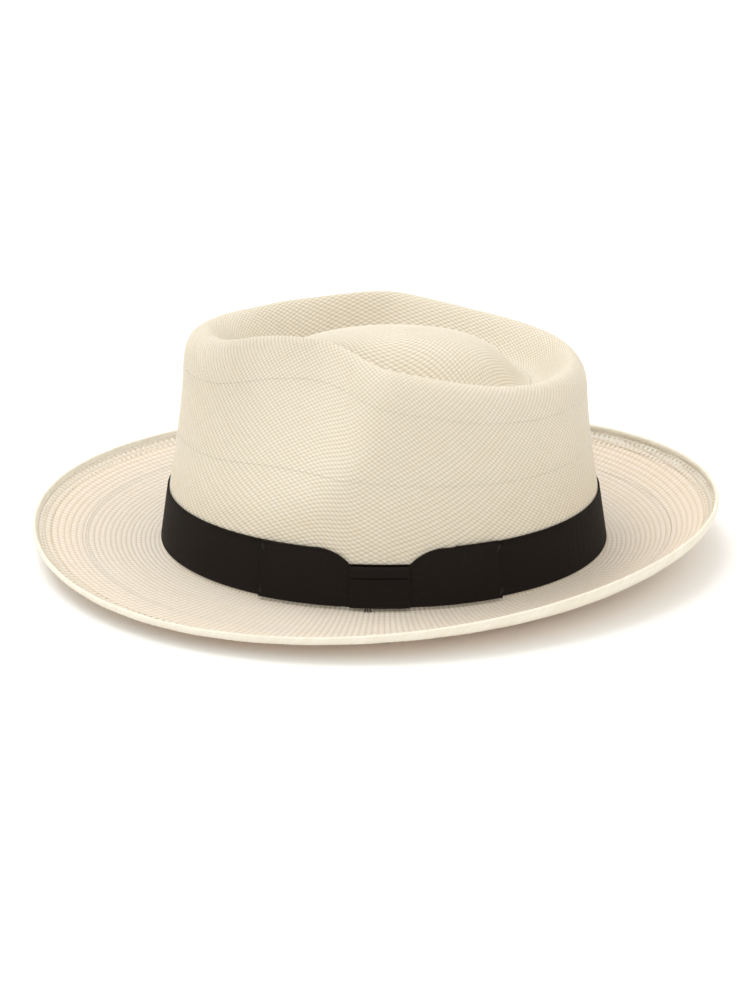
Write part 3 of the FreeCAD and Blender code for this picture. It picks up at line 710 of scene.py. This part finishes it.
straw = straw_material("woven_straw", STRAW_LIGHT, STRAW_GAP_SHADE, 0.20, CROWN_SEE_THROUGH)
brim_straw = straw_material("woven_brim", BRIM_LIGHT, BRIM_GAP_SHADE, 0.24, BRIM_SEE_THROUGH)
rolled_straw = hem_material()
ribbon = ribbon_material("black_grosgrain", across_ribs=False)
knot_ribbon = ribbon_material("black_grosgrain_turned", across_ribs=True)
straw_thread = thread_material("natural_thread", (0.84, 0.77, 0.62), (0.68, 0.58, 0.42))
black_thread = thread_material("black_sewing_thread", (0.010, 0.008, 0.007), (0.004, 0.0035, 0.003))
twill = sweatband_material()
reed_plastic = reed_material()


# ---- the straw pieces

BEAD_LEVEL = 0.7          # this much of the relief lies under the straw's mean surface
BEAD = 0.34               # how proud the middle of each crossing stands of the gaps
BRIM_BEAD = 0.22          # the same on the brim, which is pressed flatter
FINE = 0.48               # distance between mesh rows that carry the weave
COARSE = 4.0              # and between those inside, which don't


def straw_piece(name, rows, columns, weave, origin_row, material, bead=BEAD, pole=False):
    """A closed woven piece. The outside rows carry the weave as real relief.

    The strands are counted from origin_row. pole closes the first row to a point.
    """
    inside_rows = even_rows(rows[0], rows[-1], COARSE)
    places = COLUMNS * np.arange(columns) / columns
    angles = TURN * np.arange(columns + 1) / columns
    outside = straw_surface(rows, places)
    relief_runs = distance_down(rows, places, origin_row)
    strands = weave(relief_runs, angles)
    relief = (bead_height(strands[:, :-1]) - BEAD_LEVEL) * bead
    if pole:
        relief[-1] = 0
    if origin_row == rows[0]:
        relief[0] = 0
    front = outside + row_normals(rows, places) * relief[..., None]
    inside = straw_surface(inside_rows, places)
    back = inside - row_normals(inside_rows, places) * WALL
    inside_strands = weave(distance_down(inside_rows, places, origin_row), angles)
    piece = thin_piece(name, front, back, strands, inside_strands, True, material, pole)
    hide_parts("straw_body")
    return piece


CENTRE_ROW = 0.05
WAIST_ROW = 12.0          # half way down the crown's side
UNDER_RIBBON_ROW = len(TOP_RINGS) + len(SIDE_RINGS) + 0.4  # the ribbon hides the straw below here
HALF_BRIM_ROW = EDGE_ROW - 5.0
HEM_ROW = EDGE_ROW - 0.4
TOP_COLUMNS = 460
SIDE_COLUMNS = 4 * SIDE_CELLS
BRIM_COLUMNS = 4 * BRIM_STRANDS

top_rows = even_rows(CENTRE_ROW, GUTTER_ROW, FINE)
rim_rows = even_rows(GUTTER_ROW, SHOULDER_ROW, FINE)
upper_rows = even_rows(SHOULDER_ROW, WAIST_ROW, FINE)
lower_rows = even_rows(WAIST_ROW, UNDER_RIBBON_ROW, FINE)
hidden_rows = even_rows(UNDER_RIBBON_ROW, BREAK_ROW, COARSE)[1:]
side_rows = np.concatenate([lower_rows, hidden_rows])
inner_brim_rows = even_rows(BREAK_ROW, HALF_BRIM_ROW, FINE)
outer_brim_rows = even_rows(HALF_BRIM_ROW, HEM_ROW, FINE)

straw_piece("crown_top", top_rows, TOP_COLUMNS, top_weave, CENTRE_ROW, straw, pole=True)
for name, rows in (("crown_rim", rim_rows), ("crown_side_upper", upper_rows), ("crown_side", side_rows)):
    straw_piece(name, rows, SIDE_COLUMNS, side_weave, GUTTER_ROW, straw)
for name, rows in (("brim_inner", inner_brim_rows), ("brim_outer", outer_brim_rows)):
    straw_piece(name, rows, BRIM_COLUMNS, brim_weave, BREAK_ROW, brim_straw, BRIM_BEAD)


# ---- the brim's rolled edge

EDGE_REACH = 3.2          # rings in from the edge that the hem and its stitches lie on
EDGE_STEPS = 160


def edge_frames(columns):
    """For each column: the distance in from the edge for every fine row, the points and normals."""
    rows = np.linspace(EDGE_ROW - EDGE_REACH, EDGE_ROW, EDGE_STEPS)
    points = straw_surface(rows, COLUMNS * np.arange(columns) / columns)
    normals = surface_normals(points)
    from_edge = run_lengths(points[::-1])[::-1]
    return from_edge, points, normals


def over_the_brim(frames, column, distance, height):
    """The point at a distance in from the brim's edge and a height off the straw."""
    from_edge, points, normals = frames
    order = slice(None, None, -1)
    reach = from_edge[order, column]
    place = [np.interp(distance, reach, points[order, column, axis]) for axis in range(3)]
    normal = [np.interp(distance, reach, normals[order, column, axis]) for axis in range(3)]
    return np.array(place) + np.array(normal) * height


# the rolled edge's outline: distance in from the edge, height off the straw's outside
HEM_OUTLINE = [
    (2.0, -0.25), (1.7, 0.10), (1.1, 0.22), (0.4, 0.20), (-0.3, -0.05), (-0.7, -0.50), (-0.7, -1.05),
    (-0.3, -1.55), (0.6, -1.80), (2.0, -1.85), (4.0, -1.70), (6.4, -1.55), (7.6, -1.30), (7.8, -0.95),
]
HEM_COLUMNS = 720
UNDERSIDE = -1.0          # outline points lower than this lie under the brim
# height of each ripple, how many go round the brim, and how far each row's is shifted
HEM_RIPPLES = [(0.07, 290, 0.9), (0.05, 37, 1.0)]


def hem_ripple(column, number):
    """How far the rolled straw ends stand up at a column of one row of the outline."""
    turn = TURN * column / HEM_COLUMNS
    return sum(height * math.sin(turn * count + number * shift) for height, count, shift in HEM_RIPPLES)


def hem_points():
    """The rolled edge's points, a row for each point of the outline, and the brim's edge line."""
    frames = edge_frames(HEM_COLUMNS)
    edge, before_edge = frames[1][-1], frames[1][-2]
    outward = unit(edge - before_edge)
    rows = []
    for number, (distance, height) in enumerate(HEM_OUTLINE):
        side = 1 if height > UNDERSIDE else -1
        line = []
        for column in range(HEM_COLUMNS):
            lift = height + side * hem_ripple(column, number)
            point = over_the_brim(frames, column, max(distance, 0.0), lift)
            line.append(point - outward[column] * min(distance, 0.0))
        rows.append(line)
    return np.array(rows), edge


def make_hem():
    """A closed roll: the outline's rows are joined round the brim, and the last row to the first."""
    points, edge = hem_points()
    round_brim = np.concatenate([[0], np.cumsum(np.linalg.norm(np.roll(edge, -1, axis=0) - edge, axis=1))])
    down = np.cumsum([0] + [math.dist(a, b) for a, b in zip(HEM_OUTLINE, HEM_OUTLINE[1:])])
    uv = np.stack(np.meshgrid(down, round_brim, indexing="ij")[::-1], -1)
    rows, columns = points.shape[:2]
    faces, uvs = grid_faces(rows, columns, True, 0, 0, True)
    around = np.arange(columns + 1) % columns
    uv_around = np.arange(columns + 1)
    seam, seam_uv = strip_faces(around, (rows - 1) * columns + around,
                                uv_around, (rows - 1) * (columns + 1) + uv_around)
    return make_object("brim_hem", points.reshape(-1, 3), np.concatenate([faces, seam]).tolist(),
                       np.concatenate([uvs, seam_uv]).tolist(), uv.reshape(-1, 2), rolled_straw)


brim_hem = make_hem()
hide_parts("straw_body")

STITCHES = 270            # round the brim, in each row
STITCH_COLUMNS = 4        # edge columns from one stitch to the next
STITCH_STEPS = (0, 1, 1, 2, 2)  # the columns a stitch passes over
STITCH_RADIUS = 0.18
STITCH_FOOT = 0.02        # a stitch's middle line over the straw, at its ends
STITCH_ARCH = 0.17        # and how much higher in its middle
STITCH_SLANT = 0.9
FIRST_HEM_ROW = 3.5       # mm from the brim's edge, along the straw
SECOND_HEM_ROW = 7.5


def hem_stitches(name, node, distance):
    """A row of short slanting thread stitches that dip into the straw at both ends."""
    frames = edge_frames(STITCHES * STITCH_COLUMNS)
    paths = []
    for stitch in range(STITCHES):
        path = []
        for step, column in enumerate(STITCH_STEPS):
            share = step / (len(STITCH_STEPS) - 1)
            lift = STITCH_FOOT + STITCH_ARCH * math.sin(math.pi * share)
            inward = distance + STITCH_SLANT * (share - 0.5)
            path.append(over_the_brim(frames, stitch * STITCH_COLUMNS + column, inward, lift))
        paths.append(path)
    piece = tubes(name, paths, STITCH_RADIUS, straw_thread)
    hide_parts(node)
    return piece


hem_stitches("hem_stitches_outer", "hem_thread_outer", FIRST_HEM_ROW)
hem_stitches("hem_stitches_inner", "hem_thread_inner", SECOND_HEM_ROW)


# ---- ribbon round the crown

ARC_STEPS = 4000


def oval_arc_table(height, outset):
    """Angle of the leaning oval as a function of the distance along it from the bow's middle."""
    angles = np.linspace(-math.pi, math.pi, ARC_STEPS + 1)
    x = (HEAD_WIDTH - LEAN * height + outset) * np.cos(angles)
    y = (HEAD_LENGTH - LEAN * height + outset) * np.sin(angles)
    lengths = np.concatenate([[0], np.cumsum(np.hypot(np.diff(x), np.diff(y)))])
    return lengths - lengths[ARC_STEPS // 2], angles


ARCS, ARC_ANGLES = oval_arc_table((BAND_FOOT + BAND_TOP) / 2, BAND_OUTSET)
ROUND = ARCS[-1] - ARCS[0]  # once round the crown along the ribbon


def on_band(arc, height, outset):
    """The point at a distance along the ribbon, a height above the brim and an outset from the straw."""
    angle = np.interp(arc, ARCS, ARC_ANGLES)
    lean = LEAN * height
    x = (HEAD_WIDTH - lean + outset) * np.cos(angle)
    y = (HEAD_LENGTH - lean + outset) * np.sin(angle)
    return np.stack([x, y, WALL + height], -1)


WAIST_HEIGHT = 18.2       # the ribbon is gathered to this height under the knot
WAIST_HALF = 13.2         # the gather is flat this far from the knot's middle
GATHER_HALF = 28.0        # and starts this far from it
RIB_DEPTH = 0.07
SELVAGE_WAVE = 0.10       # the ribbon's edges weave in and out this much
GATHER_DROP = BAND_TOP - BAND_FOOT - WAIST_HEIGHT
GATHER_RUN = GATHER_HALF - WAIST_HALF
GATHER_RADIUS = (GATHER_RUN ** 2 + GATHER_DROP ** 2) / (2 * GATHER_DROP)


def ribbon_top(arc):
    """Height of the ribbon's upper edge, which dips where the knot gathers it."""
    along = np.clip(GATHER_HALF - np.abs(arc), 0, GATHER_RUN)
    return BAND_TOP - (GATHER_RADIUS - np.sqrt(GATHER_RADIUS ** 2 - along ** 2))


def rib_relief(arc):
    return RIB_DEPTH * np.sin(TURN * arc / RIB_PITCH)


def level(height):
    """An edge of ribbon that runs at one height."""
    return lambda arc: height + 0 * arc


no_relief = level(0)

def ribbon_piece(name, arcs, foot, top, outset, thickness, rows, wrap, material, relief=rib_relief):
    """A length of ribbon: foot and top give its edges, outset its middle, all over (arc, share up)."""
    share, arc = np.meshgrid(np.linspace(0, 1, rows), arcs, indexing="ij")
    selvage = SELVAGE_WAVE * np.sin(TURN * arc / RIB_PITCH / 2 + 0.6) * (2 * share - 1)
    height = foot(arc) + (top(arc) - foot(arc)) * share + selvage
    middle = outset(arc, share)
    front = on_band(arc, height, middle + thickness / 2 + relief(arc))
    back = on_band(arc, height, middle - thickness / 2 + 0 * arc)
    uv = np.stack([arc, height], -1)
    if wrap:
        extra = uv[:, :1] + np.array([ROUND, 0])
        uv = np.concatenate([uv, extra], axis=1)
    piece = thin_piece(name, front, back, uv, uv, wrap, material)
    return piece


def band_outset(arc, share):
    """The ribbon is drawn tight, but eases off the straw a little here and there."""
    ease = 0.14 * np.sin(arc / 37.0 + 1.0) * share + 0.10 * np.sin(arc / 19.0) * (1 - share)
    return BAND_OUTSET + 0.12 + ease


def band_foot(arc):
    """The lower edge wanders a little up and down."""
    return BAND_FOOT + 0.15 * np.sin(arc / 23.0)


BAND_COLUMNS = 3400       # five to each rib
BAND_ROWS = 9
band_arcs = np.linspace(ARCS[0], ARCS[-1], BAND_COLUMNS, endpoint=False)
hat_band = ribbon_piece("hat_ribbon", band_arcs, band_foot, ribbon_top, band_outset, RIBBON_THICKNESS,
                        BAND_ROWS, True, ribbon)
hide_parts("hat_band")


# ---- bow

WING_THICKNESS = 0.9
WING_OUTSET = 1.5         # middle of a wing, off the straw
WING_DROP = 0.25          # a wing hangs this much lower than the ribbon
WING_TUCK = 1.5           # and runs on under the knot this far
WING_STEP = 0.16          # four to each rib
WING_ROWS = 25
LAYER_START = 33.0        # the rear wing's upper layer shows from here
LAYER_RISE = 0.55
# each crease: its depth, where it starts up the wing, its slope and how far it runs
CREASES = [(0.42, 0.60, 0.22, 17), (0.38, 0.34, -0.16, 14), (0.25, 0.82, 0.10, 10)]


def crease(arc, share, start_share, slope, reach):
    """A soft valley that runs out of the knot and fades."""
    run = np.abs(arc) - WAIST_HALF
    line = start_share + slope * run / 20
    return np.exp(-((share - line) / 0.055) ** 2) * (1 - ramp(2, reach, run))


def wing_outset(arc, share):
    """A wing puffs up in its middle, is squeezed by the knot and is thicker at its folded end."""
    run = np.abs(arc)
    puff = 0.40 * np.sin(math.pi * share) * ramp(WAIST_HALF, 30, run) * (1 - ramp(42, BOW_HALF, run))
    squeeze = -0.25 * (1 - ramp(WAIST_HALF, 22, run))
    fold = 0.28 * np.exp(-((BOW_HALF - run) / 1.6) ** 2)
    creases = sum(depth * crease(arc, share, *course) for depth, *course in CREASES)
    return WING_OUTSET + puff + squeeze + fold - creases


def make_wing(name, sign):
    """sign is -1 for the wing in front of the knot and 1 for the one behind it."""
    arcs = np.arange(WAIST_HALF - WING_TUCK, BOW_HALF, WING_STEP) * sign
    if sign < 0:
        arcs = arcs[::-1]

    def top(arc):
        layer = LAYER_RISE * ramp(LAYER_START - 0.4, LAYER_START + 0.4, arc) if sign > 0 else 0
        return ribbon_top(arc) + layer

    piece = ribbon_piece(name, arcs, level(BAND_FOOT - WING_DROP), top, wing_outset,
                         WING_THICKNESS, WING_ROWS, False, ribbon)
    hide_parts("bow_loops")


make_wing("bow_wing_front", -1)
make_wing("bow_wing_rear", 1)

KNOT_HEIGHT = 17.4
KNOT_OUTSET = 2.65        # middle of the knot, off the straw
KNOT_THICKNESS = 1.0
KNOT_DROP = 0.35          # the knot reaches this much lower than the ribbon
KNOT_COLUMNS = 53
KNOT_ROWS = 140
STRIP_SHARE = 0.75        # the knot's top fold starts here


def knot_outset(arc, share):
    """A flat face, a groove, and the folded strip along the top; it tucks in at its sides."""
    strip = 0.45 * ramp(STRIP_SHARE, STRIP_SHARE + 0.03, share) - 2.2 * np.maximum(share - STRIP_SHARE, 0)
    groove = -0.45 * np.exp(-((share - STRIP_SHARE) / 0.018) ** 2)
    sides = -1.1 * ramp(KNOT_HALF - 1.2, KNOT_HALF, np.abs(arc)) ** 2
    ends = -0.5 * ramp(0.97, 1.0, share) - 0.6 * ramp(0.03, 0.0, share)
    ribs = RIB_DEPTH * np.sin(TURN * share * KNOT_HEIGHT / RIB_PITCH)
    return KNOT_OUTSET + strip + groove + sides + ends + ribs


knot_arcs = np.linspace(-KNOT_HALF, KNOT_HALF, KNOT_COLUMNS)
knot = ribbon_piece("bow_knot_wrap", knot_arcs, level(BAND_FOOT - KNOT_DROP), level(BAND_FOOT + KNOT_HEIGHT),
                    knot_outset, KNOT_THICKNESS, KNOT_ROWS, False, knot_ribbon, relief=no_relief)
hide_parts("bow_knot")


# ---- small threads on the ribbon

TACK_FEET = (BAND_FOOT + 0.8, BAND_TOP - 4.2)  # where the lower and upper tacks start
TACK_STITCHES = 3         # in each tack
TACK_INSET = 1.3          # the first stitch from the wing's end
TACK_SPACING = 0.55
TACK_STEP_UP = 0.5        # each stitch starts this much higher than the last
TACK_HEIGHT = 2.6
TACK_SLANT = 0.5
TACK_LIFT = 0.55          # a stitch's ends over the wing's middle
TACK_ARCH = 0.35          # and how much prouder its middle stands
TACK_RADIUS = 0.24
# along the band, sideways spread and length of each loose end
THREAD_ENDS = [(-5.6, -0.8, 1.2), (-4.9, 0.3, 1.9), (-4.0, 0.9, 0.9)]
THREAD_END_START = 2.7    # they leave the knot this far off the straw
THREAD_END_DROP = 1.3
THREAD_END_REST = 0.35    # height above the brim where they lie
THREAD_END_RADIUS = 0.25


def tack_stitch(side, low, number):
    """One stitch over a wing's end: side is -1 in front and 1 behind, number counts outward."""
    arc = side * (BOW_HALF - TACK_INSET + TACK_SPACING * number)
    start = low + TACK_STEP_UP * number
    path = []
    for share in np.linspace(0, 1, 5):
        lift = WING_OUTSET + TACK_LIFT + TACK_ARCH * math.sin(math.pi * share)
        path.append(on_band(arc + TACK_SLANT * share, start + TACK_HEIGHT * share, lift))
    return path


def thread_end(arc, spread, length):
    """A loose end that drops from under the knot and lies on the brim."""
    path = []
    for share in np.linspace(0, 1, 6):
        height = THREAD_END_DROP * (1 - share) ** 2 + THREAD_END_REST
        path.append(on_band(arc + spread * share ** 2, height, THREAD_END_START + length * share))
    return path


tack_paths = [tack_stitch(side, low, number)
              for side in (-1, 1) for low in TACK_FEET for number in range(TACK_STITCHES)]
tacks = tubes("bow_stitches", tack_paths, TACK_RADIUS, black_thread)
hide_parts("bow_tacks")
loose_ends = tubes("knot_threads", [thread_end(*end) for end in THREAD_ENDS], THREAD_END_RADIUS, black_thread)
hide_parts("knot_thread_ends")


# ---- inside the crown

SWEATBAND_OUTSET = -1.95  # middle of its thickness, in from the straw's outside
SWEATBAND_THICKNESS = 0.8
SWEATBAND_COLUMNS = 480
SWEATBAND_ROWS = 17
SWEATBAND_FOOT, SWEATBAND_TOP = (corner.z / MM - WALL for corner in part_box("sweatband"))


def make_sweatband():
    """A cotton band with a rolled lower edge and soft waves along its free upper edge."""
    arcs = np.linspace(ARCS[0], ARCS[-1], SWEATBAND_COLUMNS, endpoint=False)

    def outset(arc, share):
        wave = 0.22 * np.sin(arc / 11.0) * share - 0.2 * share
        roll = -0.22 * np.exp(-((share - 0.03) / 0.035) ** 2)
        return SWEATBAND_OUTSET + wave + roll

    def top(arc):
        return SWEATBAND_TOP - 0.3 + 0.3 * np.sin(arc / 17.0)

    piece = ribbon_piece("sweatband_cloth", arcs, level(SWEATBAND_FOOT), top, outset, SWEATBAND_THICKNESS,
                         SWEATBAND_ROWS, True, twill, relief=no_relief)
    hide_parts("sweatband")


INNER_BOW_WAIST = 0.34    # height at its knot, as a share of the loops' height
INNER_BOW_PUFF = 0.75     # how proud the loops stand
INNER_BOW_KNOT = 0.5      # and the knot
INNER_BOW_COLUMNS = 61
INNER_BOW_ROWS = 15


def make_inner_bow():
    """The tiny ribbon bow on the sweatband's seam at the back."""
    low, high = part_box("sweatband_bow")
    half = (high.x - low.x) / 2 / MM
    middle = (high.z + low.z) / 2 / MM
    rise = (high.z - low.z) / 2 / MM
    place = (low.y + high.y) / 2 / MM
    up = np.linspace(-1, 1, INNER_BOW_ROWS)
    across = np.linspace(-1, 1, INNER_BOW_COLUMNS)
    share, side = np.meshgrid(up, across, indexing="ij")
    height = INNER_BOW_WAIST + (1 - INNER_BOW_WAIST) * ramp(0.08, 0.8, np.abs(side))
    puff = INNER_BOW_PUFF * (1 - share ** 2) * np.abs(np.sin(math.pi * np.abs(side) ** 0.8))
    puff += INNER_BOW_KNOT * np.exp(-(side / 0.1) ** 2)
    x = half * side
    z = middle + rise * share * height
    front = np.stack([x, place - 0.1 - puff, z], -1)
    back = np.stack([x, np.full(x.shape, place + 0.45), z], -1)
    uv = np.stack([x, z], -1)
    piece = thin_piece("sweatband_seam_bow", front, back, uv, uv, False, ribbon)
    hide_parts("sweatband_bow")


make_sweatband()
make_inner_bow()
for node, material in (("sweatband_reed", reed_plastic), ("sweatband_thread", straw_thread)):
    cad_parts[node].data.materials.clear()
    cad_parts[node].data.materials.append(material)


# ---- floor, light and camera

FLOOR_HALF = 6.0          # metres
FLOOR_DARK = (0.90, 0.90, 0.90)
FLOOR_LIGHT = (0.93, 0.93, 0.93)
SKY_COLOUR = (1.0, 0.98, 0.93, 1)
SKY_STRENGTH = 1.07
KEY_COLOUR = (0.93, 0.975, 1.0)
KEY_STRENGTH = 1.3
KEY_SPREAD = math.radians(40)
KEY_FROM = Vector((-0.30, -0.34, 1.0))  # above, the wearer's right and a little in front


def make_floor():
    n = Nodes("studio_floor")
    mottle = n.noise(n.place(), 0.004, 2.0)
    colour = n.mix_colour(mottle, FLOOR_DARK, FLOOR_LIGHT)
    paper = n.shader(colour, 0.9, Specular_IOR_Level=0.1)
    mesh = bpy.data.meshes.new("floor")
    corners = [(x * FLOOR_HALF, y * FLOOR_HALF, 0) for x, y in ((-1, -1), (1, -1), (1, 1), (-1, 1))]
    mesh.from_pydata(corners, [], [(0, 1, 2, 3)])
    mesh.materials.append(n.finish(paper.outputs[0]))
    floor = add_object("floor", mesh)


def make_light():
    world = bpy.data.worlds.new("studio")
    world.use_nodes = True
    background = world.node_tree.nodes["Background"]
    background.inputs["Color"].default_value = SKY_COLOUR
    background.inputs["Strength"].default_value = SKY_STRENGTH
    bpy.context.scene.world = world
    key = bpy.data.lights.new("key", "SUN")
    key.energy = KEY_STRENGTH
    key.angle = KEY_SPREAD
    key.color = KEY_COLOUR
    lamp = add_object("key", key)
    lamp.rotation_mode = "QUATERNION"
    lamp.rotation_quaternion = KEY_FROM.to_track_quat("Z", "Y")
    bpy.context.scene.view_settings.view_transform = "Standard"


CAMERA_DISTANCE = 1162.4 * MM
CAMERA_AZIMUTH = math.radians(91.1)
CAMERA_ELEVATION = math.radians(22.47)
SENSOR = 36.0             # mm, its long side
LENS = 92.58              # mm
SHIFT_ASIDE = -0.0087     # the hat's middle lies off the view's middle, in parts of the
SHIFT_UP = 0.0436         # view's long side


def make_camera():
    data = bpy.data.cameras.new("camera")
    data.sensor_width = SENSOR
    data.lens = LENS
    data.shift_x = SHIFT_ASIDE
    data.shift_y = SHIFT_UP
    camera = add_object("camera", data)
    flat = math.cos(CAMERA_ELEVATION)
    aside = math.sin(CAMERA_AZIMUTH) * flat
    back = Vector((aside, -math.cos(CAMERA_AZIMUTH) * flat, math.sin(CAMERA_ELEVATION)))
    camera.location = Vector((0, 0, WALL * MM)) + back * CAMERA_DISTANCE
    camera.rotation_mode = "QUATERNION"
    camera.rotation_quaternion = back.to_track_quat("Z", "Y")
    bpy.context.scene.camera = camera


make_floor()
make_light()
make_camera()
